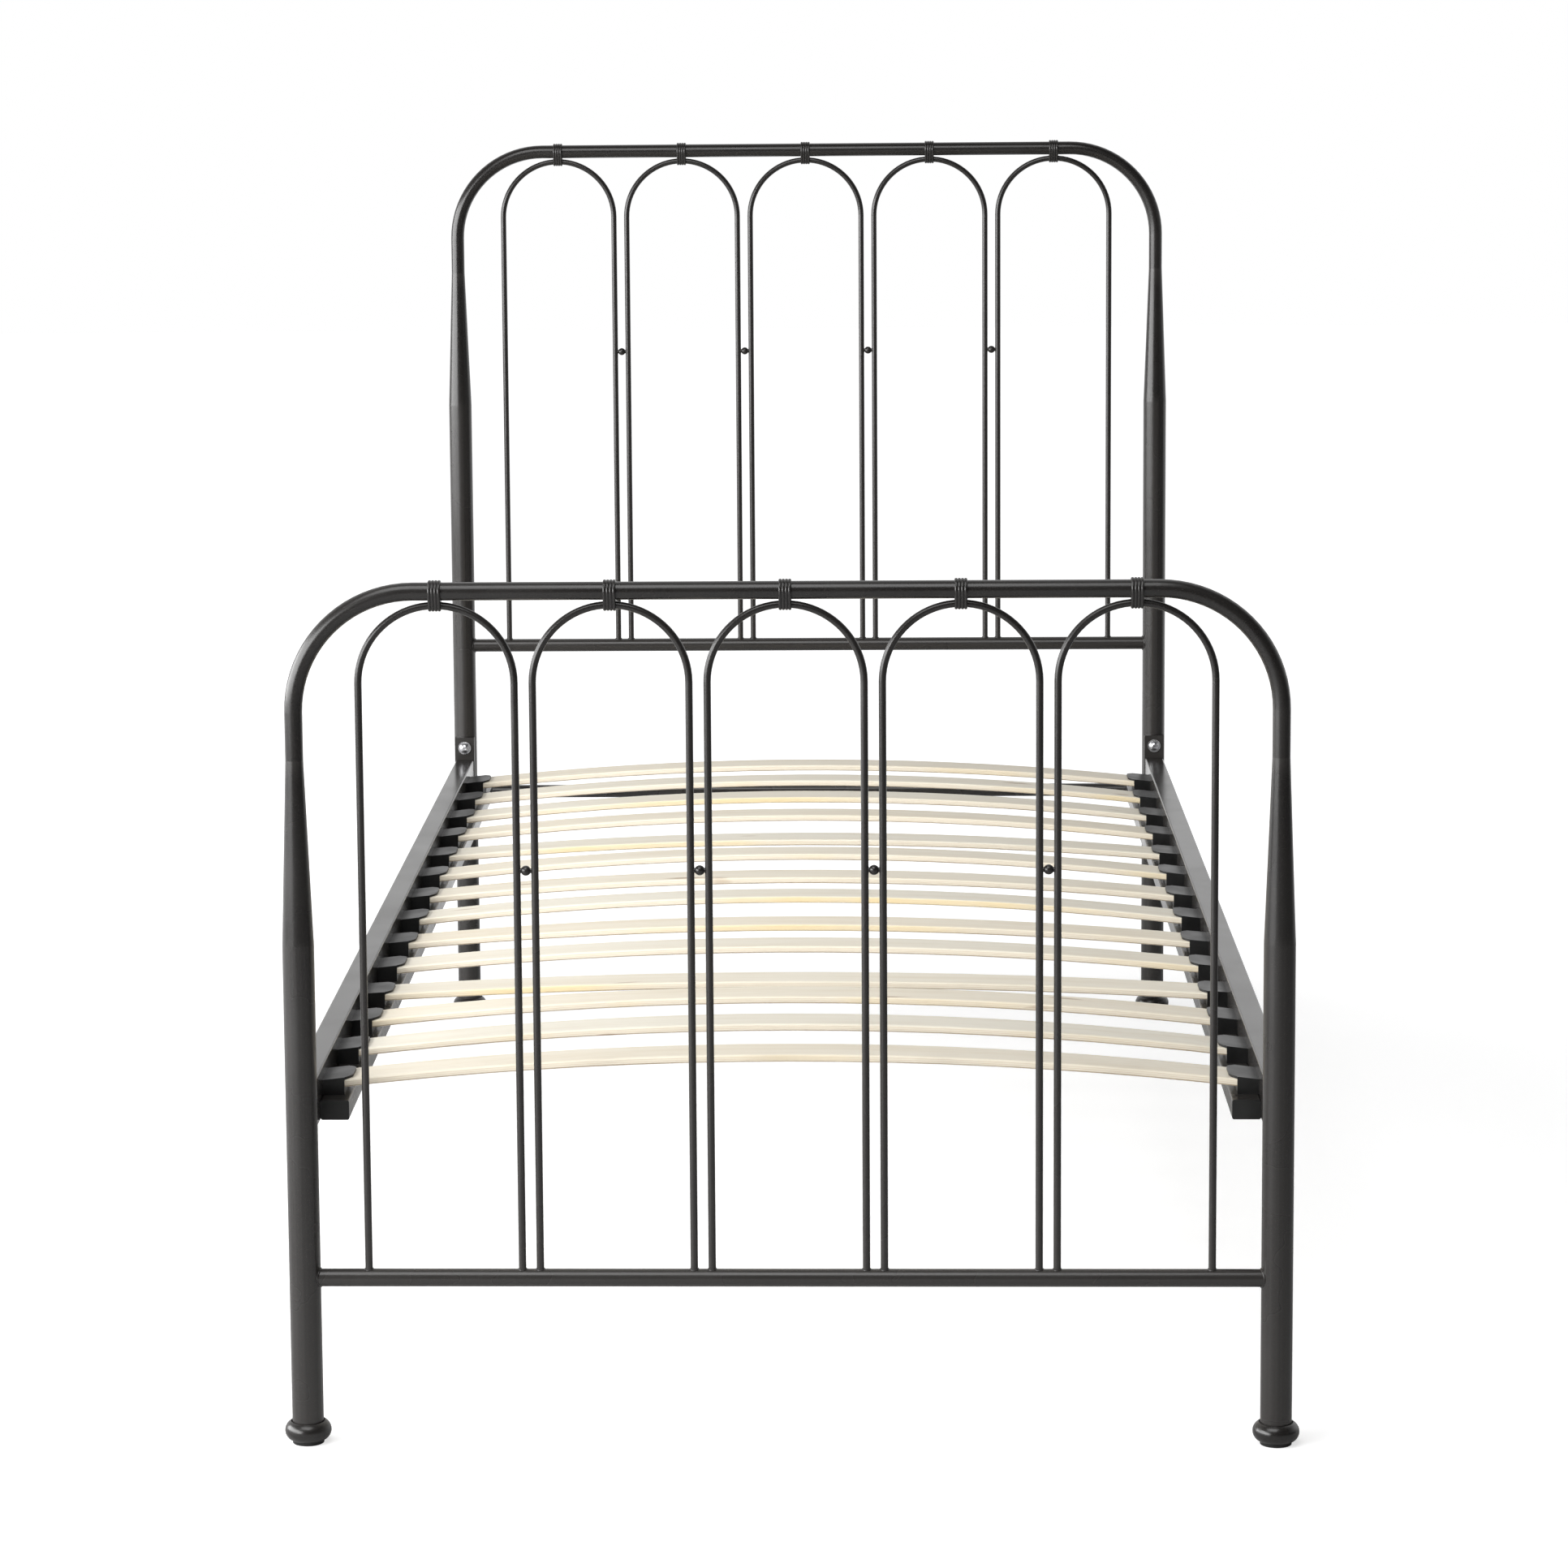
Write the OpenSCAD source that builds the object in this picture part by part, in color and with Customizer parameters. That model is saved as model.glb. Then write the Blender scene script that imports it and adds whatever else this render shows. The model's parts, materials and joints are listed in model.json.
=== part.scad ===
// Single bed frame: arched metal headboard and footboard, bolt-on side rails,
// bowed plywood slats in plastic holders. Millimetres, +Z up, headboard at +Y.
// Origin: on the floor, midway between the four legs.

/* [Overall] */
// Distance between the left and right leg axes
post_span = 975; // [850:5:1500]
// Distance between the footboard and headboard leg axes
bed_length = 1950; // [1700:10:2100]
// Height of the footboard hoop's tube axis
footboard_h = 867; // [800:1:1000]
// Height of the headboard hoop's tube axis
headboard_h = 1227; // [1100:1:1400]

/* [Posts and hoops] */
// Diameter of the leg tube
leg_d = 31.75; // [28:0.25:38]
// Diameter of the hoop and cross rail tube
hoop_d = 18; // [16:0.5:22]
// Wall of every round tube
tube_wall = 1.5; // [1.2:0.1:2]
// Radius of the hoop's corner bends, on the tube axis
hoop_bend_r = 120; // [80:1:130]
// Drop from the hoop axis to the thin end of the taper
taper_drop = 168; // [150:1:200]
// Length of the taper between the hoop size and the leg size
taper_h = 186; // [120:1:220]
// Length of the hoop's reduced end inside the leg
spigot_h = 30; // [15:1:50]
// Radial clearance of the reduced end in the leg
spigot_gap = 0.05; // [0.02:0.01:0.1]

/* [Arches] */
// Diameter of the arch rod
rod_d = 7.5; // [6:0.5:10]
// Width of an arch between its rod axes
arch_w = 154.7; // [130:0.1:165]
// Space between the rod axes of neighbouring arches
arch_gap = 18; // [14:0.5:24]
// Drop from the hoop axis to the arches' cross rail axis
cross_rail_drop = 696; // [500:1:700]
// Free space between the hoop and an arch's crown
crown_gap = 1.2; // [0.5:0.1:3]
// Height of the headboard's lower rail axis
lower_rail_z = 321; // [270:1:340]
// Height of the balls above the cross rail axis
ball_rise = 416; // [200:1:450]
// Diameter of the balls between the arches
ball_d = 10.2; // [8:0.1:10.4]
// Diameter of the weld neck at each side of a ball
ball_neck_d = 5; // [3:0.1:7]

/* [Collars] */
// Width of a collar along the hoop
collar_w = 12.6; // [9:0.1:18]
// Thickness of a collar round the hoop
collar_t = 2.3; // [1.5:0.1:4]
// Number of ribs on a collar
collar_ribs = 4; // [3:1:6]
// Depth of the grooves between the ribs
groove_depth = 0.9; // [0.3:0.1:1.2]
// Width of a groove
groove_w = 0.9; // [0.4:0.1:1.2]

/* [Feet] */
// Largest diameter of the bun foot
bun_d = 47; // [44:0.5:60]
// Radius of the bun's rounded side
bun_side_r = 10.5; // [8:0.5:12]
// Height of the glide's flange under the leg
glide_flange_h = 3; // [2:0.5:5]
// Length of the glide's plug inside the leg
glide_plug_h = 20; // [10:1:30]
// Radial clearance of the glide's plug in the leg
plug_gap = 0.1; // [0.05:0.05:0.3]
// Width of the open ring between the leg and the bun's top lip
lip_gap = 1.5; // [0.5:0.1:2]
// Depth of that ring
lip_depth = 3; // [1:0.5:5]

/* [Side rails] */
// Width of the side rail tube
rail_w = 25; // [20:1:30]
// Height of the side rail tube
rail_h = 50; // [40:1:60]
// Height of the side rail's top face
rail_top_z = 370; // [340:1:420]
// Wall of the rail and ledge tubes
rail_wall = 1.5; // [1.2:0.1:2]
// Corner radius of the rail and ledge tubes
rail_corner_r = 2; // [1.6:0.1:3]
// Width of the ledge tube, inwards from the rail
ledge_w = 29; // [26:1:35]
// Height of the ledge tube
ledge_h = 20; // [15:1:25]
// Distance from the leg axis to the end of the ledge
ledge_setback = 55; // [45:1:70]
// Thickness of the ledge's end cap
cap_t = 1.5; // [1:0.5:4]
// Length of the end cap's plug inside the ledge
cap_plug_l = 12; // [6:1:20]

/* [Brackets and bolts] */
// Width of the bracket plate
bracket_w = 27; // [25:1:30]
// Thickness of the bracket plate where it meets the leg
bracket_t = 4; // [3:0.5:6]
// Reach of the bracket above and below the rail
bracket_reach = 31.5; // [26:0.5:40]
// Distance from the rail's top or bottom to the bolt axis
bolt_offset = 17; // [14:0.5:20]
// Diameter of the bolt's shank
bolt_d = 8; // [6:1:8]
// Diameter of the bolt's button head
bolt_head_d = 14; // [12:0.5:14]
// Height of the bolt's button head
bolt_head_h = 4.4; // [3.3:0.1:5]
// Width across the flats of the hex socket
socket_af = 5; // [4:1:5]
// Depth of the hex socket
socket_depth = 2.6; // [2:0.1:3]
// Outer diameter of the washer
washer_d = 18; // [16:0.5:20]
// Thickness of the washer
washer_t = 1.6; // [1:0.1:2]
// Clearance of the bolt in its holes, on the diameter
bolt_clear = 0.6; // [0.3:0.1:1]
// Width of the saddle nut inside the leg
nut_w = 16; // [12:1:18]
// Thickness of the saddle nut at its middle
nut_t = 7; // [5:0.5:9]

/* [Slats] */
// Number of slats
slat_count = 14; // [8:1:14]
// Width of a slat along the bed
slat_w = 50; // [40:1:60]
// Thickness of a slat
slat_t = 8; // [6:0.5:10]
// Radius of a slat's long edges
slat_edge_r = 2.5; // [1:0.5:3]
// Distance from the leg axis to the middle of the first and last slat
slat_inset = 103.5; // [95:0.5:140]
// Height of the slat's underside above the ledge at its ends
slat_seat_h = 5.5; // [3:0.5:8]
// Crown of each slat, from the foot end: every laminated slat takes its own set
slat_rise = [28, 29, 28, 15, 26, 23, 29, 26, 29, 22, 29, 29, 28, 26];

/* [Slat holders] */
// Depth of a holder from the rail inwards
holder_depth = 22; // [18:1:28]
// Reach of the holder's top tongue from the rail
tongue_reach = 30; // [25:1:40]
// Radius of the tongue's corners
tongue_corner_r = 14.5; // [4:0.5:15]
// Thickness of the tongue
tongue_t = 2.3; // [1.5:0.1:4]
// Wall of the holder beside the slat
holder_wall = 1.5; // [1:0.1:3]
// Wall of the holder behind the slat's end
holder_back = 3; // [2:0.5:5]
// Clearance between the slat and its holder
slat_gap = 0.15; // [0.1:0.05:0.4]
// Diameter of the peg under the holder
peg_d = 8; // [6:0.5:10]
// Length of the peg below the ledge's top face
peg_l = 8; // [4:1:12]
// Clearance of the peg in the ledge, on the diameter
peg_clear = 0.2; // [0.1:0.1:0.5]

/* [Hidden] */
$fn = 64;
FRAME_COLOR = [0.17, 0.165, 0.165];
PLASTIC_COLOR = [0.03, 0.03, 0.03];
SLAT_COLOR = [0.91, 0.87, 0.78];
ZINC_COLOR = [0.75, 0.75, 0.77];
arch_count = 5;
arc_fn = 256;
cut = 1;

leg_r = leg_d / 2;
hoop_r = hoop_d / 2;
rod_r = rod_d / 2;
post_x = post_span / 2;
post_y = bed_length / 2;
bolt_r = bolt_d / 2;
hole_r = (bolt_d + bolt_clear) / 2;

arch_r = arch_w / 2;
arch_pitch = arch_w + arch_gap;
crown_drop = hoop_r + crown_gap + rod_r;

rail_bottom_z = rail_top_z - rail_h;
rail_inner_x = post_x - rail_w / 2;
bracket_face = leg_r + bracket_t;
rail_length = bed_length - 2 * bracket_face;
ledge_top_z = rail_bottom_z + ledge_h;
ledge_length = bed_length - 2 * ledge_setback;
bracket_h = rail_h + 2 * bracket_reach;
bolt_heights = [rail_top_z + bolt_offset, rail_bottom_z - bolt_offset];

slat_end_x = rail_inner_x - holder_back;
slat_end_z = ledge_top_z + slat_seat_h;
slat_pitch = (bed_length - 2 * slat_inset) / (slat_count - 1);
holder_w = slat_w + 2 * holder_wall;
peg_x = rail_inner_x - holder_depth / 2;

BOARDS = ["footboard", "headboard"];
SIDES = ["left", "right"];

function two_digits(n) = n < 10 ? str("0", n) : str(n);
function side_sign(side) = side == "left" ? -1 : 1;
function board_sign(board) = board == "footboard" ? -1 : 1;
function board_height(board) = board == "footboard" ? footboard_h : headboard_h;
function cross_rail_z(board) = board_height(board) - cross_rail_drop;
function arch_x(i) = (i - (arch_count - 1) / 2) * arch_pitch;
function slat_y(i) = -post_y + slat_inset + i * slat_pitch;
// Radius of a slat's underside: a circle through both ends and the crown
function slat_radius(i) = (pow(slat_end_x, 2) + pow(slat_rise[i], 2)) / (2 * slat_rise[i]);
function slat_half_angle(i) = asin(slat_end_x / slat_radius(i));
function slat_centre_z(i) = slat_end_z + slat_rise[i] - slat_radius(i);

// Shared shapes

module tube_z(r, h) {
    difference() {
        cylinder(r = r, h = h);
        translate([0, 0, -cut]) cylinder(r = r - tube_wall, h = h + 2 * cut);
    }
}

module along_x() {
    rotate([0, 90, 0]) children();
}

module along_y() {
    rotate([-90, 0, 0]) children();
}

module rounded_rect(w, h, r) {
    union() {
        square([w - 2 * r, h], center = true);
        square([w, h - 2 * r], center = true);
        for (x = [-1, 1], y = [-1, 1]) {
            translate([x * (w / 2 - r), y * (h / 2 - r)]) circle(r = r);
        }
    }
}

// Rectangular tube along Y, centred on the origin
module box_tube(w, h, length) {
    rotate([90, 0, 0]) linear_extrude(height = length, center = true) {
        difference() {
            rounded_rect(w, h, rail_corner_r);
            rounded_rect(w - 2 * rail_wall, h - 2 * rail_wall, rail_corner_r - rail_wall);
        }
    }
}

// Cylinder round both leg axes of one board, for coping what meets the legs
module leg_cylinders(r, z0, h) {
    for (x = [-post_x, post_x]) {
        translate([x, 0, z0]) cylinder(r = r, h = h);
    }
}

// Repeats its child at the bolt axes of one corner, pointing at the bed's middle along Y
module at_bolts() {
    for (s = SIDES, b = BOARDS, z = bolt_heights) {
        translate([side_sign(s) * post_x, board_sign(b) * post_y, z]) {
            rotate([board_sign(b) * 90, 0, 0]) children();
        }
    }
}

// Boards

module hoop_bend(side, r) {
    translate([side * (post_x - hoop_bend_r), 0, 0]) rotate([90, 0, 0]) {
        rotate_extrude(angle = 90, start = side > 0 ? 0 : 90, $fn = 96) {
            translate([hoop_bend_r, 0]) circle(r = r);
        }
    }
}

module hoop_run(h, r, over) {
    straight = post_span - 2 * hoop_bend_r;
    z_bend = h - hoop_bend_r;
    z_end = h - taper_drop;
    translate([-straight / 2, 0, h]) along_x() cylinder(r = r, h = straight);
    for (side = [-1, 1]) {
        translate([0, 0, z_bend]) hoop_bend(side, r);
        translate([side * post_x, 0, z_end - over]) cylinder(r = r, h = z_bend - z_end + over);
    }
}

module hoop(board) {
    h = board_height(board);
    z_end = h - taper_drop;
    spigot_r = hoop_r - tube_wall - spigot_gap;
    color(FRAME_COLOR) translate([0, board_sign(board) * post_y, 0]) difference() {
        union() {
            hoop_run(h, hoop_r, 0);
            translate([0, 0, z_end - spigot_h]) leg_cylinders(spigot_r, 0, spigot_h + 2 * tube_wall);
        }
        hoop_run(h, hoop_r - tube_wall, -2 * tube_wall);
        translate([0, 0, z_end - spigot_h - cut]) {
            leg_cylinders(spigot_r - tube_wall, 0, spigot_h + 3 * tube_wall + cut);
        }
    }
}

module leg(board, side) {
    z_thin = board_height(board) - taper_drop;
    z_thick = z_thin - taper_h;
    inner = leg_r - tube_wall;
    color(FRAME_COLOR) translate([side_sign(side) * post_x, board_sign(board) * post_y, 0]) {
        difference() {
            rotate_extrude() polygon([
                [inner, glide_flange_h], [leg_r, glide_flange_h], [leg_r, z_thick], [hoop_r, z_thin],
                [hoop_r - tube_wall, z_thin], [hoop_r - tube_wall, z_thin - spigot_h], [inner, z_thick]
            ]);
            for (z = bolt_heights) {
                translate([0, 0, z]) rotate([board_sign(board) * 90, 0, 0]) cylinder(r = hole_r, h = leg_d);
            }
        }
    }
}

module cross_tube(board, z) {
    color(FRAME_COLOR) translate([0, board_sign(board) * post_y, 0]) difference() {
        translate([-post_x, 0, z]) along_x() tube_z(hoop_r, post_span);
        leg_cylinders(leg_r, z - hoop_d, 2 * hoop_d);
    }
}

// One arch rod, in its own board's plane
module arch_rod(board, i, r) {
    z_rail = cross_rail_z(board);
    z_spring = board_height(board) - crown_drop - arch_r;
    translate([arch_x(i), 0, 0]) {
        for (x = [-arch_r, arch_r]) {
            translate([x, 0, z_rail]) cylinder(r = r, h = z_spring - z_rail);
        }
        translate([0, 0, z_spring]) rotate([90, 0, 0]) {
            rotate_extrude(angle = 180, $fn = 96) translate([arch_r, 0]) circle(r = r);
        }
    }
}

module arch(board, i) {
    color(FRAME_COLOR) translate([0, board_sign(board) * post_y, 0]) difference() {
        arch_rod(board, i, rod_r);
        translate([-post_x, 0, cross_rail_z(board)]) along_x() cylinder(r = hoop_r, h = post_span);
    }
}

// Outline of a collar: round the hoop at the top, round the arch rod below it
module collar_outline(inset) {
    top_r = hoop_r + collar_t - inset;
    low_r = rod_r + collar_t - inset;
    lean = asin((top_r - low_r) / crown_drop);
    circle(r = top_r);
    translate([0, -crown_drop]) circle(r = low_r);
    polygon([
        [top_r * cos(lean), -top_r * sin(lean)],
        [low_r * cos(lean), -crown_drop - low_r * sin(lean)],
        [-low_r * cos(lean), -crown_drop - low_r * sin(lean)],
        [-top_r * cos(lean), -top_r * sin(lean)]
    ]);
}

module collar_body() {
    rib_pitch = (collar_w - groove_w) / collar_ribs;
    rotate([90, 0, 90]) {
        linear_extrude(height = collar_w, center = true) collar_outline(groove_depth);
        for (k = [0:collar_ribs - 1]) {
            translate([0, 0, -collar_w / 2 + groove_w + k * rib_pitch]) {
                linear_extrude(height = rib_pitch - groove_w) collar_outline(0);
            }
        }
    }
}

module collars(board) {
    h = board_height(board);
    color(FRAME_COLOR) translate([0, board_sign(board) * post_y, 0]) {
        for (i = [0:arch_count - 1]) {
            difference() {
                translate([arch_x(i), 0, h]) collar_body();
                translate([arch_x(i) - collar_w, 0, h]) along_x() cylinder(r = hoop_r, h = 2 * collar_w);
                arch_rod(board, i, rod_r);
            }
        }
    }
}

// A ball with a weld neck to each side, turned about X
module ball() {
    along_x() rotate_extrude() intersection() {
        union() {
            circle(r = ball_d / 2);
            square([ball_neck_d, arch_gap], center = true);
        }
        translate([0, -arch_gap]) square([ball_d, 2 * arch_gap]);
    }
}

module balls(board) {
    color(FRAME_COLOR) translate([0, board_sign(board) * post_y, cross_rail_z(board) + ball_rise]) {
        for (i = [0:arch_count - 2]) {
            translate([arch_x(i + 0.5), 0, 0]) difference() {
                ball();
                for (x = [-arch_gap / 2, arch_gap / 2]) {
                    translate([x, 0, -ball_d]) cylinder(r = rod_r, h = 2 * ball_d);
                }
            }
        }
    }
}

module bun_foot(board, side) {
    ring_r = bun_d / 2 - bun_side_r;
    ring_z = bun_side_r + glide_flange_h - 0.4;
    top_z = ring_z + bun_side_r;
    color(FRAME_COLOR) translate([side_sign(side) * post_x, board_sign(board) * post_y, 0]) difference() {
        rotate_extrude() difference() {
            union() {
                translate([ring_r, ring_z]) circle(r = bun_side_r);
                translate([leg_r, glide_flange_h]) square([ring_r - leg_r + 2, top_z - glide_flange_h - 1]);
            }
            translate([-bun_d, -bun_d]) square([bun_d + leg_r, 3 * bun_d]);
            translate([0, -bun_d]) square([bun_d, bun_d + glide_flange_h]);
            translate([leg_r, top_z - lip_depth]) square([lip_gap, lip_depth + cut]);
        }
    }
}

module glide(board, side) {
    color(PLASTIC_COLOR) translate([side_sign(side) * post_x, board_sign(board) * post_y, 0]) {
        cylinder(r = leg_r, h = glide_flange_h);
        cylinder(r = leg_r - tube_wall - plug_gap, h = glide_flange_h + glide_plug_h);
    }
}

// Side rails

module side_rail(side) {
    color(FRAME_COLOR) translate([side_sign(side) * post_x, 0, rail_top_z - rail_h / 2]) {
        box_tube(rail_w, rail_h, rail_length);
    }
}

module rail_brackets(side) {
    color(FRAME_COLOR) for (b = BOARDS) {
        translate([side_sign(side) * post_x, board_sign(b) * post_y, 0]) difference() {
            translate([-bracket_w / 2, b == "footboard" ? 0 : -bracket_face, rail_bottom_z - bracket_reach]) {
                cube([bracket_w, bracket_face, bracket_h]);
            }
            translate([0, 0, rail_bottom_z - 2 * bracket_reach]) cylinder(r = leg_r, h = 2 * bracket_h);
            for (z = bolt_heights) {
                translate([0, 0, z]) rotate([board_sign(b) * 90, 0, 0]) cylinder(r = hole_r, h = leg_d);
            }
        }
    }
}

module slat_ledge(side) {
    s = side_sign(side);
    color(FRAME_COLOR) difference() {
        translate([s * (rail_inner_x - ledge_w / 2), 0, ledge_top_z - ledge_h / 2]) {
            box_tube(ledge_w, ledge_h, ledge_length);
        }
        for (i = [0:slat_count - 1]) {
            translate([s * peg_x, slat_y(i), ledge_top_z - 2 * rail_wall]) {
                cylinder(r = (peg_d + peg_clear) / 2, h = 2 * rail_wall + cut);
            }
        }
    }
}

module ledge_end_caps() {
    color(PLASTIC_COLOR) for (x = [-1, 1], y = [-1, 1]) {
        translate([x * (rail_inner_x - ledge_w / 2), 0, ledge_top_z - ledge_h / 2]) rotate([90, 0, 0]) {
            translate([0, 0, y * (ledge_length + cap_t) / 2]) {
                linear_extrude(height = cap_t, center = true) rounded_rect(ledge_w, ledge_h, rail_corner_r);
            }
            translate([0, 0, y * (ledge_length - cap_plug_l) / 2]) {
                cube([ledge_w - 2 * rail_wall - 1, ledge_h - 2 * rail_wall - 1, cap_plug_l], center = true);
            }
        }
    }
}

// Fasteners, each along its bolt axis with the leg axis at zero

module button_head() {
    // A cap of a sphere over the head's round base
    dome_r = (pow(bolt_head_d / 2, 2) + pow(bolt_head_h, 2)) / (2 * bolt_head_h);
    difference() {
        intersection() {
            translate([0, 0, bolt_head_h - dome_r]) sphere(r = dome_r);
            cylinder(r = bolt_head_d, h = bolt_head_h);
        }
        translate([0, 0, bolt_head_h - socket_depth]) {
            cylinder(r = socket_af / sqrt(3), h = socket_depth + cut, $fn = 6);
        }
    }
}

module bolts() {
    shank_end = leg_r - tube_wall - nut_t;
    color(ZINC_COLOR) at_bolts() {
        translate([0, 0, bracket_face + washer_t]) button_head();
        translate([0, 0, shank_end]) cylinder(r = bolt_r, h = bracket_face + washer_t - shank_end);
    }
}

module washers() {
    color(ZINC_COLOR) at_bolts() translate([0, 0, bracket_face]) difference() {
        cylinder(r = washer_d / 2, h = washer_t);
        translate([0, 0, -cut]) cylinder(r = hole_r, h = washer_t + 2 * cut);
    }
}

module saddle_nuts() {
    bore_r = leg_r - tube_wall;
    color(ZINC_COLOR) at_bolts() difference() {
        translate([-nut_w / 2, -nut_w / 2, bore_r - nut_t]) cube([nut_w, nut_w, nut_t]);
        rotate([90, 0, 0]) difference() {
            cylinder(r = 2 * leg_d, h = 2 * nut_w, center = true);
            cylinder(r = bore_r, h = 3 * nut_w, center = true);
        }
        cylinder(r = bolt_r, h = leg_d);
    }
}

// Slats and holders

module slat(i) {
    half = slat_half_angle(i);
    // An even number of steps, so that the crown is a point of the arc
    steps = 2 * floor(arc_fn * half / 360) - 0.1;
    color(SLAT_COLOR) translate([0, slat_y(i), slat_centre_z(i)]) rotate([90, 0, 0]) {
        rotate_extrude(angle = 2 * half, start = 90 - half, $fn = steps * 180 / half) {
            translate([slat_radius(i) + slat_t / 2, 0]) rounded_rect(slat_t, slat_w, slat_edge_r);
        }
    }
}

// Plan outline of one holder's tongue, rail face at x = 0, reaching towards +x
module tongue_outline() {
    corner = min(tongue_corner_r, tongue_reach / 2);
    straight = tongue_reach - corner;
    translate([0, -holder_w / 2]) square([straight, holder_w]);
    translate([0, corner - holder_w / 2]) square([tongue_reach, holder_w - 2 * corner]);
    for (y = [-1, 1]) {
        translate([straight, y * (holder_w / 2 - corner)]) circle(r = corner);
    }
}

// Block along the end of a slat, sloped as the slat is there, from low to high above its underside
module sloped_block(i, start, low, high, width) {
    translate([holder_back, 0, slat_seat_h]) rotate([0, -slat_half_angle(i), 0]) {
        translate([start, -width / 2, low]) cube([2 * tongue_reach, width, high - low]);
    }
}

// A holder standing at the origin on the ledge's top, rail face at x = 0, open towards +x
module holder(i) {
    slot_top = slat_t + slat_gap;
    top = slot_top + tongue_t;
    tall = 2 * (slat_seat_h + top);
    difference() {
        union() {
            intersection() {
                translate([0, -holder_w / 2, 0]) cube([holder_depth, holder_w, tall]);
                sloped_block(i, -tongue_reach, -tall, top, 2 * holder_w);
            }
            intersection() {
                linear_extrude(height = tall) tongue_outline();
                sloped_block(i, -tongue_reach, slot_top, top, 2 * holder_w);
            }
        }
        sloped_block(i, 0, -slat_gap, slot_top, slat_w + 2 * slat_gap);
    }
    translate([holder_depth / 2, 0, -peg_l]) cylinder(r = peg_d / 2, h = peg_l);
}

module slat_holders(side) {
    color(PLASTIC_COLOR) for (i = [0:slat_count - 1]) {
        translate([side_sign(side) * rail_inner_x, slat_y(i), ledge_top_z]) {
            rotate([0, 0, side == "left" ? 0 : 180]) holder(i);
        }
    }
}

for (b = BOARDS) {
    hoop(b);
    cross_tube(b, cross_rail_z(b));
    collars(b);
    balls(b);
    for (s = SIDES) {
        leg(b, s);
        bun_foot(b, s);
        glide(b, s);
    }
    for (i = [0:arch_count - 1]) {
        arch(b, i);
    }
}
for (s = SIDES) {
    side_rail(s);
    rail_brackets(s);
    slat_ledge(s);
    slat_holders(s);
}
for (i = [0:slat_count - 1]) {
    slat(i);
}
cross_tube("headboard", lower_rail_z);  // headboard_lower_rail
ledge_end_caps();
bolts();
washers();
saddle_nuts();
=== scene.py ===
"""Looks of a single metal bed frame: powder-coated tube, bowed plywood slats, moulded holders."""

import json
import math

import bmesh
import bpy
from mathutils import Matrix, Vector


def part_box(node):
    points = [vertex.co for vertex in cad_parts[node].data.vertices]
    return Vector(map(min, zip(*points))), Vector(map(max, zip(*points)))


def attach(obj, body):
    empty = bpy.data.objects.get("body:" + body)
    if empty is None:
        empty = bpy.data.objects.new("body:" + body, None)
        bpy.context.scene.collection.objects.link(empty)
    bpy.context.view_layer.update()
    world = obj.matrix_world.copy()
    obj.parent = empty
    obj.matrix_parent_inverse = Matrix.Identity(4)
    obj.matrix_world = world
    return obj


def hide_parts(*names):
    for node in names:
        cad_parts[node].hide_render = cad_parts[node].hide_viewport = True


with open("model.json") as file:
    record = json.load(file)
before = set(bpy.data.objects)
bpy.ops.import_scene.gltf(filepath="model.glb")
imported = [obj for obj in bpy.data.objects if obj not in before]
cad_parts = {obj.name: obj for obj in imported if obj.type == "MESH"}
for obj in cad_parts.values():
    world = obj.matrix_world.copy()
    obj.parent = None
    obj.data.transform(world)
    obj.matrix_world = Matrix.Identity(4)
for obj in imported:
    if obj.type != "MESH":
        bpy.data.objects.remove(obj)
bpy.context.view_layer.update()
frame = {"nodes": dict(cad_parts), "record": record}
nodes = frame["nodes"]
BOARDS = ("footboard", "headboard")
ARCHES = range(1, 6)
SLAT_THICKNESS = 0.008
TUBE_BEAD = 0.0011  # radius of the weld round a rail's end
ROD_BEAD = 0.0010  # radius of the weld round a rod's end
BEAD_SIDES = 8
COLLAR_RIBS = 4
COLLAR_GROOVE = 0.0010
FLOOR_HALF = 14.0
WORLD_FILL = 0.1
# Each lamp's name, place, aim, size and power
LAMPS = (
    ("left_wall", (-3.7, -1.8, 1.4), (0, -0.9, 0.8), (7.4, 1.9), 430),
    ("key", (-0.7, -2.6, 4.0), (0, -0.1, 0.4), (3.0, 2.6), 100),
    ("right_fill", (3.9, 0.2, 1.6), (0, 0, 0.6), (4.4, 1.6), 8),
)
CAMERA_PLACE = (0.0736, -5.4319, 1.4580)
CAMERA_YAW, CAMERA_PITCH, CAMERA_ROLL = -0.0338, 0.13616, 0.00889
CAMERA_LENS = 105.05
CAMERA_SHIFT = (0.0493, -0.1107)


# Material helpers


def new_material(name, color, roughness, metallic=0.0, specular=0.5):
    mat = bpy.data.materials.new(name)
    mat.use_nodes = True
    bsdf = mat.node_tree.nodes["Principled BSDF"]
    bsdf.inputs["Base Color"].default_value = (*color, 1.0)
    bsdf.inputs["Roughness"].default_value = roughness
    bsdf.inputs["Metallic"].default_value = metallic
    bsdf.inputs["Specular IOR Level"].default_value = specular
    return mat


def node(mat, kind, operation=None):
    """A new shader node in a material or world."""
    made = mat.node_tree.nodes.new(kind)
    if operation:
        made.operation = operation
    return made


def link(mat, out_socket, in_socket):
    mat.node_tree.links.new(out_socket, in_socket)


def calc(mat, operation, *values):
    """A Math node on sockets and plain numbers."""
    made = node(mat, "ShaderNodeMath", operation)
    for socket, value in zip(made.inputs, values):
        if isinstance(value, float):
            socket.default_value = value
        else:
            link(mat, value, socket)
    return made.outputs["Value"]


def coords_of(mat, kind="Object"):
    return node(mat, "ShaderNodeTexCoord").outputs[kind]


def mapped(mat, coords, location, scale):
    made = node(mat, "ShaderNodeMapping")
    made.inputs["Location"].default_value = location
    made.inputs["Scale"].default_value = scale
    link(mat, coords, made.inputs["Vector"])
    return made.outputs["Vector"]


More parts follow.
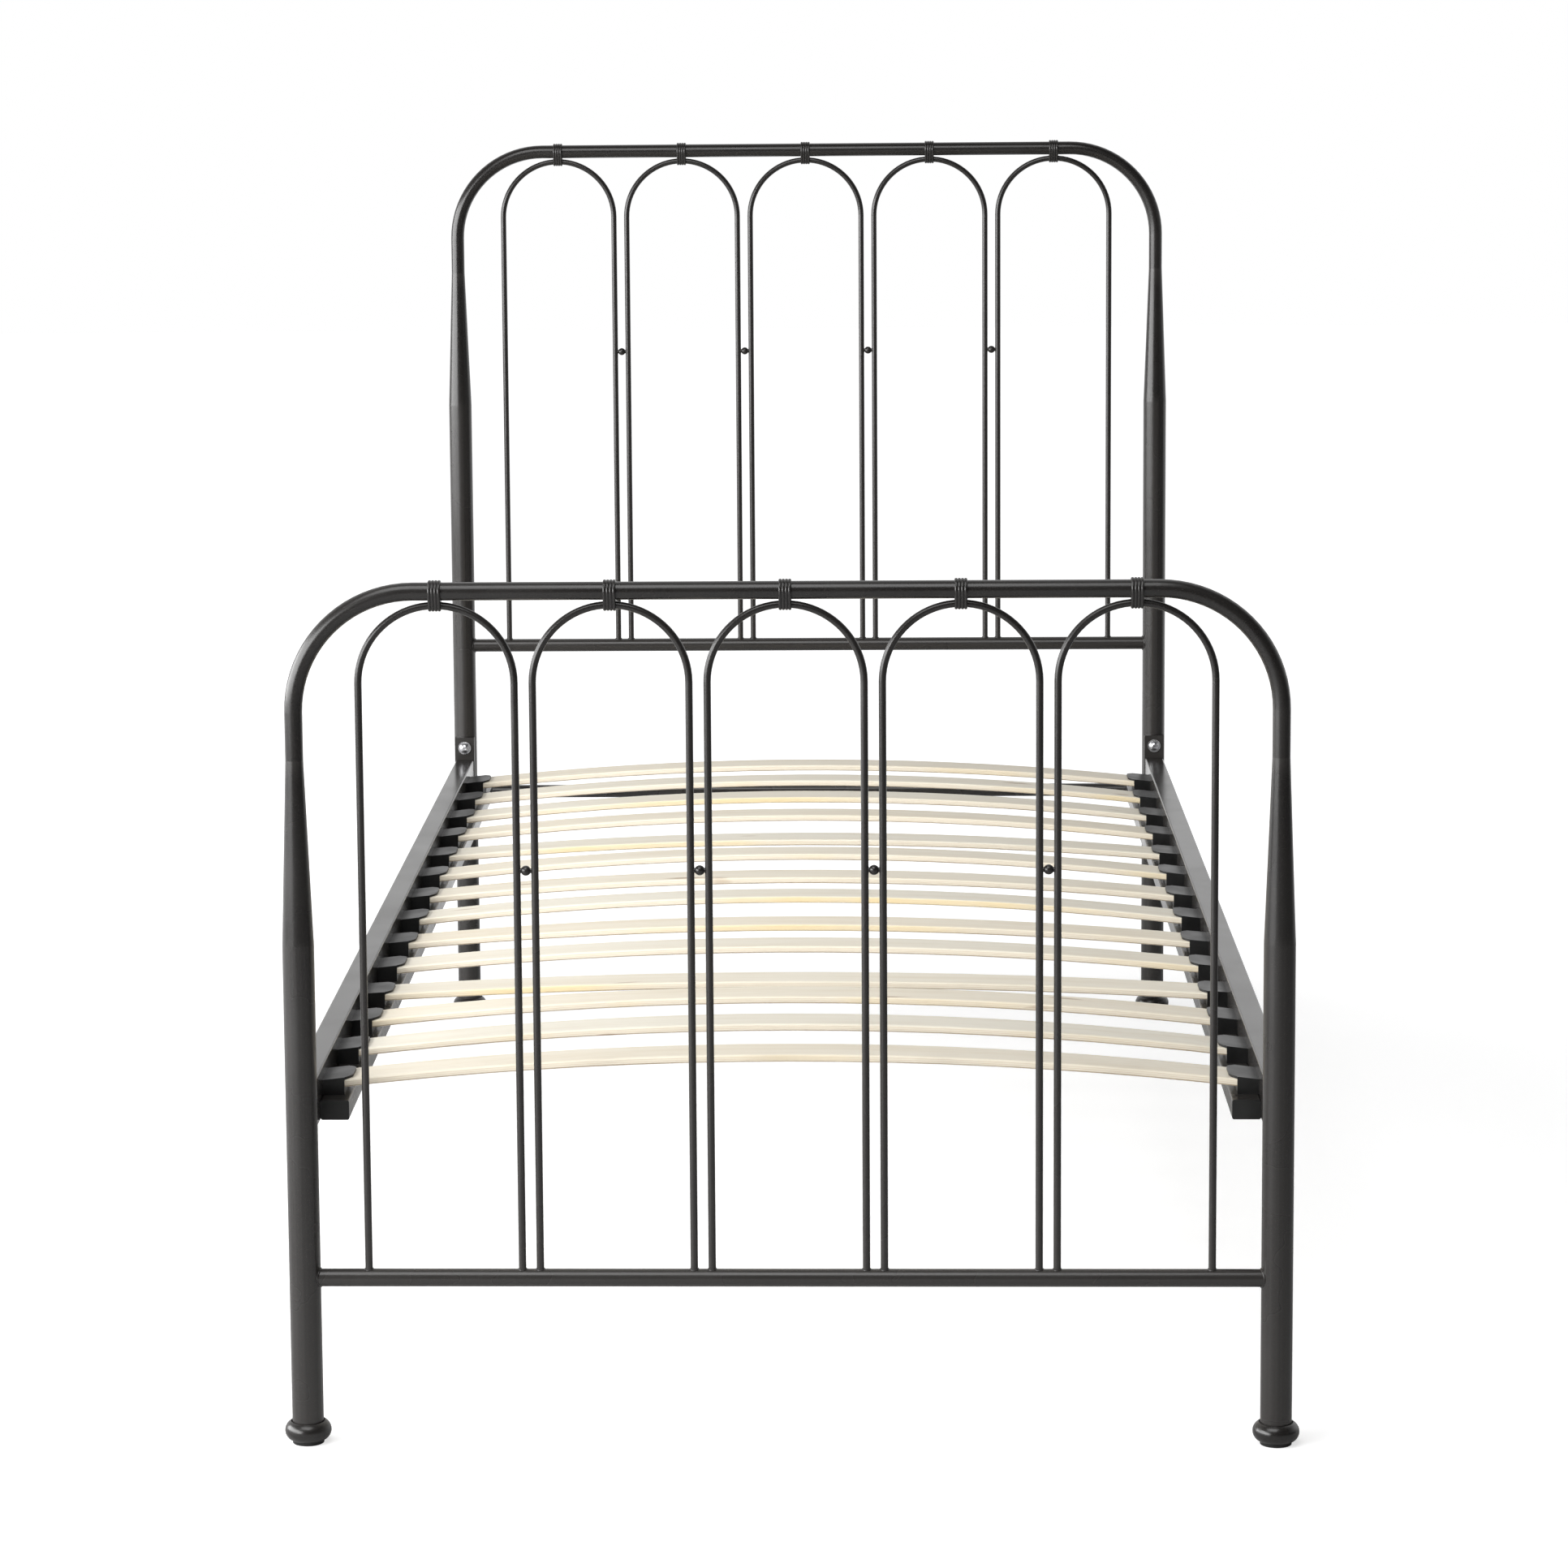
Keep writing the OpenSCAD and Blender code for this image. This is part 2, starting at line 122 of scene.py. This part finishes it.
def split(mat, vector):
    made = node(mat, "ShaderNodeSeparateXYZ")
    link(mat, vector, made.inputs["Vector"])
    return made.outputs


def length(mat, vector):
    made = node(mat, "ShaderNodeVectorMath", "LENGTH")
    link(mat, vector, made.inputs[0])
    return made.outputs["Value"]


def noise(mat, coords, scale, detail=2.0, rough=0.5):
    made = node(mat, "ShaderNodeTexNoise")
    made.inputs["Scale"].default_value = scale
    made.inputs["Detail"].default_value = detail
    made.inputs["Roughness"].default_value = rough
    link(mat, coords, made.inputs["Vector"])
    return made.outputs["Fac"]


def ramp(mat, fac, stops):
    made = node(mat, "ShaderNodeValToRGB")
    elements = made.color_ramp.elements
    while len(elements) < len(stops):
        elements.new(0.5)
    for element, (position, color) in zip(elements, stops):
        element.position = position
        element.color = (*color, 1.0)
    link(mat, fac, made.inputs["Fac"])
    return made.outputs["Color"]


def span(mat, fac, low, high, out_low, out_high):
    made = node(mat, "ShaderNodeMapRange")
    made.inputs["From Min"].default_value = low
    made.inputs["From Max"].default_value = high
    made.inputs["To Min"].default_value = out_low
    made.inputs["To Max"].default_value = out_high
    link(mat, fac, made.inputs["Value"])
    return made.outputs["Result"]


def mix(mat, fac, a, b):
    made = node(mat, "ShaderNodeMix")
    made.data_type = "RGBA"
    link(mat, fac, made.inputs["Factor"])
    for socket, value in ((made.inputs["A"], a), (made.inputs["B"], b)):
        if isinstance(value, tuple):
            socket.default_value = (*value, 1.0)
        else:
            link(mat, value, socket)
    return made.outputs["Result"]


def bump(mat, height, strength, distance, normal=None):
    made = node(mat, "ShaderNodeBump")
    made.inputs["Strength"].default_value = strength
    made.inputs["Distance"].default_value = distance
    link(mat, height, made.inputs["Height"])
    if normal is not None:
        link(mat, normal, made.inputs["Normal"])
    return made.outputs["Normal"]


def shader(mat, **links):
    bsdf = mat.node_tree.nodes["Principled BSDF"]
    for key, socket in links.items():
        link(mat, socket, bsdf.inputs[key.replace("_", " ")])


# Materials


def powder_coat(name="powder_coat", roughness=0.27, peel_depth=0.05):
    """Satin charcoal powder coat: fine orange peel, a sparse paler fleck, convex edges painted slightly
    lighter as a painted highlight.
    """
    mat = new_material(name, (0.02, 0.019, 0.018), roughness, specular=0.5)
    coords = coords_of(mat)
    fine = noise(mat, coords, 1400, 2.0, 0.6)
    broad = noise(mat, coords, 9, 3.0, 0.55)
    tone = ramp(mat, broad, [(0.3, (0.0085, 0.0075, 0.0070)), (0.7, (0.0125, 0.0112, 0.0104))])
    fleck = ramp(mat, fine, [(0.60, (0, 0, 0)), (0.72, (1, 1, 1))])
    tone = mix(mat, fleck, tone, (0.050, 0.045, 0.042))
    # Painted highlight: convex edges, found by pointiness, are mixed slightly lighter to stand in for light
    # catching the edges
    highlight_pointiness = node(mat, "ShaderNodeNewGeometry").outputs["Pointiness"]
    edge = span(mat, highlight_pointiness, 0.53, 0.6, 0.0, 0.35)
    tone = mix(mat, edge, tone, (0.055, 0.051, 0.048))
    rough = span(mat, broad, 0.3, 0.7, roughness - 0.04, roughness + 0.05)
    peel = bump(mat, noise(mat, coords, 420, 2.0, 0.5), peel_depth, 0.0006)
    shader(mat, Base_Color=tone, Roughness=rough, Normal=bump(mat, fine, 0.06, 0.0002, peel))
    return mat


def plywood(name, index):
    """Pale birch laminate with long grain and veneer edges; each slat has its own tone."""
    mat = new_material(f"plywood_{index:02d}", (0.8, 0.75, 0.66), 0.42, specular=0.22)
    coords = coords_of(mat)
    grain = mapped(mat, coords, (index * 1.7, index * 0.9, 0), (1.6, 26, 26))
    figure = noise(mat, grain, 2.4, 4.0, 0.55)
    pore = noise(mat, mapped(mat, coords, (index * 0.7, 0, 0), (14, 620, 620)), 1.0, 2.0, 0.6)
    warm = 0.012 * math.sin(index * 2.4)
    light = (0.86 + warm, 0.80, 0.675 - warm)
    dark = (0.81 + warm, 0.735, 0.595 - warm)
    tone = ramp(mat, figure, [(0.30, dark), (0.58, light)])
    tone = mix(mat, span(mat, pore, 0.58, 0.78, 0.0, 0.22), tone, (0.62, 0.52, 0.38))

    # Height within the laminate: 0 at the underside, 1 at the top face of the bowed slat
    low, high = (Vector(v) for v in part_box(name))
    half = high.x - 0.0005
    rise = high.z - low.z - SLAT_THICKNESS
    radius = (half**2 + rise**2) / (2 * rise)
    place = split(mat, coords)
    across = node(mat, "ShaderNodeCombineXYZ")
    link(mat, place["X"], across.inputs["X"])
    link(mat, calc(mat, "SUBTRACT", place["Z"], low.z + rise - radius), across.inputs["Z"])
    reach = length(mat, across.outputs["Vector"])
    ply = span(mat, reach, radius, radius + SLAT_THICKNESS, 0.0, 1.0)

    # Veneers: pale plies with thin pink-brown glue lines, and a darker lowest ply
    pale, glue, low_ply = (0.86, 0.79, 0.65), (0.72, 0.58, 0.44), (0.46, 0.35, 0.23)
    plies = [(0.0, low_ply), (0.12, low_ply), (0.17, glue), (0.22, pale), (0.39, pale), (0.42, glue)]
    plies += [(0.48, pale), (0.66, pale), (0.69, glue), (0.73, pale), (1.0, light)]
    wander = calc(mat, "MULTIPLY_ADD", figure, 0.16, ply)
    veneer = ramp(mat, span(mat, wander, 0.08, 1.08, 0.0, 1.0), plies)
    # Some runs of the edge are honey-coloured heartwood
    streak = mapped(mat, coords, (index * 3.1, index * 2.3, index), (2.2, 4, 4))
    honey = span(mat, noise(mat, streak, 1.0, 3.0, 0.6), 0.52, 0.66, 0.0, 0.75)
    veneer = mix(mat, honey, veneer, (0.88, 0.70, 0.38))
    normal = split(mat, node(mat, "ShaderNodeNewGeometry").outputs["Normal"])
    edge = span(mat, calc(mat, "ABSOLUTE", normal["Y"]), 0.45, 0.85, 0.0, 1.0)
    tone = mix(mat, edge, tone, veneer)
    # A few small knots, drawn out along the grain
    knots = mapped(mat, coords, (index * 5.3, index * 1.9, index * 0.4), (9, 48, 48))
    knot = span(mat, noise(mat, knots, 1.0, 1.0, 0.3), 0.745, 0.80, 0.0, 0.75)
    tone = mix(mat, knot, tone, (0.32, 0.18, 0.09))
    rough = span(mat, pore, 0.3, 0.7, 0.36, 0.5)
    shader(mat, Base_Color=tone, Roughness=rough, Normal=bump(mat, pore, 0.12, 0.0004))
    return mat


def moulded_plastic():
    """Black moulded plastic with a fine spark-eroded grain."""
    mat = new_material("moulded_plastic", (0.010, 0.010, 0.010), 0.34, specular=0.42)
    coords = coords_of(mat)
    grain = noise(mat, coords, 900, 2.0, 0.5)
    broad = noise(mat, coords, 30, 2.0, 0.5)
    tone = ramp(mat, broad, [(0.3, (0.008, 0.008, 0.008)), (0.7, (0.015, 0.015, 0.015))])
    rough = span(mat, broad, 0.3, 0.7, 0.32, 0.46)
    shader(mat, Base_Color=tone, Roughness=rough, Normal=bump(mat, grain, 0.15, 0.0003))
    return mat


def zinc_plate():
    """Bright zinc plate with faint turning marks."""
    mat = new_material("zinc_plate", (0.72, 0.72, 0.74), 0.28, metallic=1.0)
    coords = coords_of(mat)
    cloud = noise(mat, coords, 160, 3.0, 0.6)
    fine = noise(mat, coords, 1800, 2.0, 0.5)
    tone = ramp(mat, cloud, [(0.3, (0.58, 0.58, 0.61)), (0.7, (0.78, 0.78, 0.79))])
    rough = span(mat, cloud, 0.3, 0.7, 0.22, 0.38)
    shader(mat, Base_Color=tone, Roughness=rough, Normal=bump(mat, fine, 0.08, 0.0002))
    return mat


def put_material(obj, mat):
    obj.data.materials.clear()
    obj.data.materials.append(mat)


metal = powder_coat()
rail_metal = powder_coat("powder_coat_rail", 0.22, 0.03)
plastic = moulded_plastic()
zinc = zinc_plate()
slots = {row["node"]: row["material_slot"] for row in frame["record"]["subparts"]}
for name, obj in nodes.items():
    if slots[name] == "plywood":
        put_material(obj, plywood(name, int(name[-2:])))
    elif slots[name] == "black_plastic":
        put_material(obj, plastic)
    elif slots[name] == "zinc":
        put_material(obj, zinc)
    elif name.startswith("side_rail"):
        put_material(obj, rail_metal)
    else:
        put_material(obj, metal)


# Pieces that only the looks need: weld beads where tubes and rods meet


def add_piece(name, bm, mat):
    mesh = bpy.data.meshes.new(name)
    bm.to_mesh(mesh)
    bm.free()
    for polygon in mesh.polygons:
        polygon.use_smooth = True
    obj = bpy.data.objects.new(name, mesh)
    bpy.context.scene.collection.objects.link(obj)
    put_material(obj, mat)
    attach(obj, "root")
    return obj


def bead_loop(bm, points, normals, size):
    """A closed fillet of weld round a joint, lumpy like a short run of weld."""
    rings = []
    count = len(points)
    for k, (point, normal) in enumerate(zip(points, normals)):
        along = (points[(k + 1) % count] - points[k - 1]).normalized()
        side = along.cross(normal).normalized()
        r = size * (1.0 + 0.12 * math.sin(k * 2.7) + 0.08 * math.sin(k * 1.3 + 1))
        ring = []
        for j in range(BEAD_SIDES):
            turn = 2 * math.pi * j / BEAD_SIDES
            ring.append(bm.verts.new(point + normal * (r * math.cos(turn)) + side * (r * math.sin(turn))))
        rings.append(ring)
    for k in range(count):
        a, b = rings[k], rings[(k + 1) % count]
        for j in range(BEAD_SIDES):
            after = (j + 1) % BEAD_SIDES
            bm.faces.new((a[j], a[after], b[after], b[j]))


def rod_on_tube(bm, x, y, z, rod_r, tube_r, points_round=28):
    """The bead where an upright rod stands on a level tube along X, whose axis is at z."""
    points, normals = [], []
    for k in range(points_round):
        turn = 2 * math.pi * k / points_round
        dx, dy = rod_r * math.cos(turn), rod_r * math.sin(turn)
        points.append(Vector((x + dx, y + dy, z + math.sqrt(tube_r**2 - dy**2))))
        normals.append(Vector((math.cos(turn), math.sin(turn), 0.6)).normalized())
    bead_loop(bm, points, normals, ROD_BEAD)


def tube_on_leg(bm, x, y, z, tube_r, leg_r, toward, points_round=40):
    """The bead where a level tube along X meets an upright leg, whose axis is at x."""
    points, normals = [], []
    for k in range(points_round):
        turn = 2 * math.pi * k / points_round
        dy, dz = tube_r * math.cos(turn), tube_r * math.sin(turn)
        points.append(Vector((x + toward * math.sqrt(leg_r**2 - dy**2), y + dy, z + dz)))
        normals.append(Vector((toward * 0.6, math.cos(turn), math.sin(turn))).normalized())
    bead_loop(bm, points, normals, TUBE_BEAD)


def centre_and_half(name):
    low, high = (Vector(v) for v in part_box(name))
    return (low + high) / 2, (high - low) / 2


for board in BOARDS:
    rail_c, rail_h = centre_and_half(f"{board}_cross_rail")
    leg_c, leg_h = centre_and_half(f"{board}_leg_right")
    beads = bmesh.new()
    levels = [rail_c.z]
    if board == "headboard":
        levels.append(centre_and_half("headboard_lower_rail")[0].z)
    for level in levels:
        for side in (-1, 1):
            tube_on_leg(beads, side * leg_c.x, rail_c.y, level, rail_h.z, leg_h.x, -side)
    for i in ARCHES:
        arch_c, arch_h = centre_and_half(f"{board}_arch_{i}")
        rod_r = arch_h.y
        for side in (-1, 1):
            x = arch_c.x + side * (arch_h.x - rod_r)
            rod_on_tube(beads, x, rail_c.y, rail_c.z, rod_r, rail_h.z)
    add_piece(f"{board}_weld_beads", beads, metal)


# The collars' ribs are wound round: each is a half-round bulge, which the CAD collar has as a flat land


def collar_loop(top_r, low_r, drop, count=56):
    """Points round a collar's outline in its own plane, (across, up), from the hoop's axis; clockwise."""
    lean = math.asin((top_r - low_r) / drop)
    half = count // 2
    top = [(-lean + (math.pi + 2 * lean) * k / (half - 1)) for k in range(half)]
    low = [(math.pi + lean + (math.pi - 2 * lean) * k / (half - 1)) for k in range(half)]
    points = [(top_r * math.cos(a), top_r * math.sin(a)) for a in top]
    return points + [(low_r * math.cos(a), low_r * math.sin(a) - drop) for a in low]


def add_collar(bm, x, y, z_hoop, z_crown, width, top_r, low_r, steps=8):
    """One collar round hoop and crown, each rib a half-round bulge made of short steps along the hoop."""
    rings = []
    profile = [(0.0, COLLAR_GROOVE)]
    for rib in range(COLLAR_RIBS):
        for k in range(steps + 1):
            sink = COLLAR_GROOVE * (1 - math.sin(math.pi * k / steps) ** 0.55)
            profile.append(((rib + k / steps) / COLLAR_RIBS, sink))
    for along, sink in profile:
        ring = []
        for across, up in collar_loop(top_r - sink, low_r - sink, z_hoop - z_crown):
            ring.append(bm.verts.new((x + (along - 0.5) * width, y + across, z_hoop + up)))
        rings.append(ring)
    count = len(rings[0])
    for a, b in zip(rings, rings[1:]):
        for j in range(count):
            bm.faces.new((a[j], a[(j + 1) % count], b[(j + 1) % count], b[j]))
    bm.faces.new(rings[0])
    bm.faces.new(list(reversed(rings[-1])))


for board in BOARDS:
    hoop_low, hoop_high = (Vector(v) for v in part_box(f"{board}_hoop"))
    collar_low, collar_high = (Vector(v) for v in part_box(f"{board}_collars"))
    rod_half = centre_and_half(f"{board}_arch_3")[1].y
    hoop_half = (hoop_high.y - hoop_low.y) / 2
    z_hoop = hoop_high.z - hoop_half
    z_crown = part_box(f"{board}_arch_3")[1][2] - rod_half
    low_r = z_crown - collar_low.z
    bands = bmesh.new()
    centres = [centre_and_half(f"{board}_arch_{i}")[0].x for i in ARCHES]
    width = (collar_high.x - collar_low.x) - (centres[-1] - centres[0])
    for x in centres:
        add_collar(bands, x, hoop_low.y + hoop_half, z_hoop, z_crown, width, collar_high.z - z_hoop, low_r)
    bmesh.ops.remove_doubles(bands, verts=bands.verts, dist=1e-6)
    bmesh.ops.recalc_face_normals(bands, faces=bands.faces)
    wound = add_piece(f"{board}_collar_bands", bands, metal)
    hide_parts(f"{board}_collars")


# Floor, backdrop, light and camera


def pale_floor():
    """The camera sees the unshadowed floor lifted to plain white, and so do reflections of its far end."""
    mesh = bpy.data.meshes.new("floor")
    corners = [(x * FLOOR_HALF, y * FLOOR_HALF, 0) for x, y in ((-1, -1), (1, -1), (1, 1), (-1, 1))]
    mesh.from_pydata(corners, [], [(0, 1, 2, 3)])
    floor = bpy.data.objects.new("floor", mesh)
    bpy.context.scene.collection.objects.link(floor)
    mat = new_material("floor", (0.6, 0.6, 0.6), 0.9, specular=0.1)
    coords = coords_of(mat)
    path = node(mat, "ShaderNodeLightPath").outputs
    behind = span(mat, split(mat, coords)["Y"], 0.6, 2.4, 0.0, 1.0)
    mirrored = calc(mat, "MULTIPLY", path["Is Glossy Ray"], behind)
    seen = calc(mat, "MAXIMUM", path["Is Camera Ray"], mirrored)
    lift = span(mat, length(mat, coords), 0.9, 2.4, 0.64, 1.0)
    lift.node.interpolation_type = "SMOOTHSTEP"
    shader(mat, Emission_Strength=calc(mat, "MULTIPLY", seen, lift))
    mat.node_tree.nodes["Principled BSDF"].inputs["Emission Color"].default_value = (1, 1, 1, 1)
    floor.data.materials.append(mat)


def background(world, strength):
    made = node(world, "ShaderNodeBackground")
    made.inputs["Color"].default_value = (1, 1, 1, 1)
    made.inputs["Strength"].default_value = strength
    return made.outputs["Background"]


def studio_world():
    """A dim studio. The camera sees it white, and so do reflections that look past the headboard end."""
    world = bpy.data.worlds.new("studio")
    bpy.context.scene.world = world
    world.use_nodes = True
    world.node_tree.nodes.clear()
    path = node(world, "ShaderNodeLightPath").outputs
    behind = span(world, split(world, coords_of(world, "Generated"))["Y"], 0.0, 0.6, 0.0, 1.0)
    bounced = calc(world, "MAXIMUM", path["Is Glossy Ray"], path["Is Transmission Ray"])
    mirrored = calc(world, "MULTIPLY", bounced, behind)
    choose = node(world, "ShaderNodeMixShader")
    link(world, calc(world, "MAXIMUM", path["Is Camera Ray"], mirrored), choose.inputs["Fac"])
    link(world, background(world, WORLD_FILL), choose.inputs[1])
    link(world, background(world, 1.0), choose.inputs[2])
    link(world, choose.outputs["Shader"], node(world, "ShaderNodeOutputWorld").inputs["Surface"])


def area_light(name, location, target, size, power):
    data = bpy.data.lights.new(name, "AREA")
    data.shape = "RECTANGLE"
    data.size, data.size_y = size
    data.energy = power
    light = bpy.data.objects.new(name, data)
    light.location = location
    light.rotation_euler = (Vector(target) - Vector(location)).to_track_quat("-Z", "Y").to_euler()
    bpy.context.scene.collection.objects.link(light)


def photo_camera():
    data = bpy.data.cameras.new("camera")
    data.sensor_width = 36.0
    data.lens = CAMERA_LENS
    data.shift_x, data.shift_y = CAMERA_SHIFT
    data.clip_end = 100.0
    camera = bpy.data.objects.new("camera", data)
    bpy.context.scene.collection.objects.link(camera)
    yaw, pitch, roll = CAMERA_YAW, CAMERA_PITCH, CAMERA_ROLL
    forward = Vector((math.sin(yaw) * math.cos(pitch), math.cos(yaw) * math.cos(pitch), -math.sin(pitch)))
    level = Vector((math.cos(yaw), -math.sin(yaw), 0.0))
    down = forward.cross(level)
    right = level * math.cos(roll) + down * math.sin(roll)
    up = level * math.sin(roll) - down * math.cos(roll)
    pose = Matrix((right, up, -forward)).transposed().to_4x4()
    pose.translation = Vector(CAMERA_PLACE)
    camera.matrix_world = pose
    bpy.context.scene.camera = camera


pale_floor()
studio_world()
for lamp in LAMPS:
    area_light(*lamp)
photo_camera()
bpy.context.scene.view_settings.view_transform = "Standard"
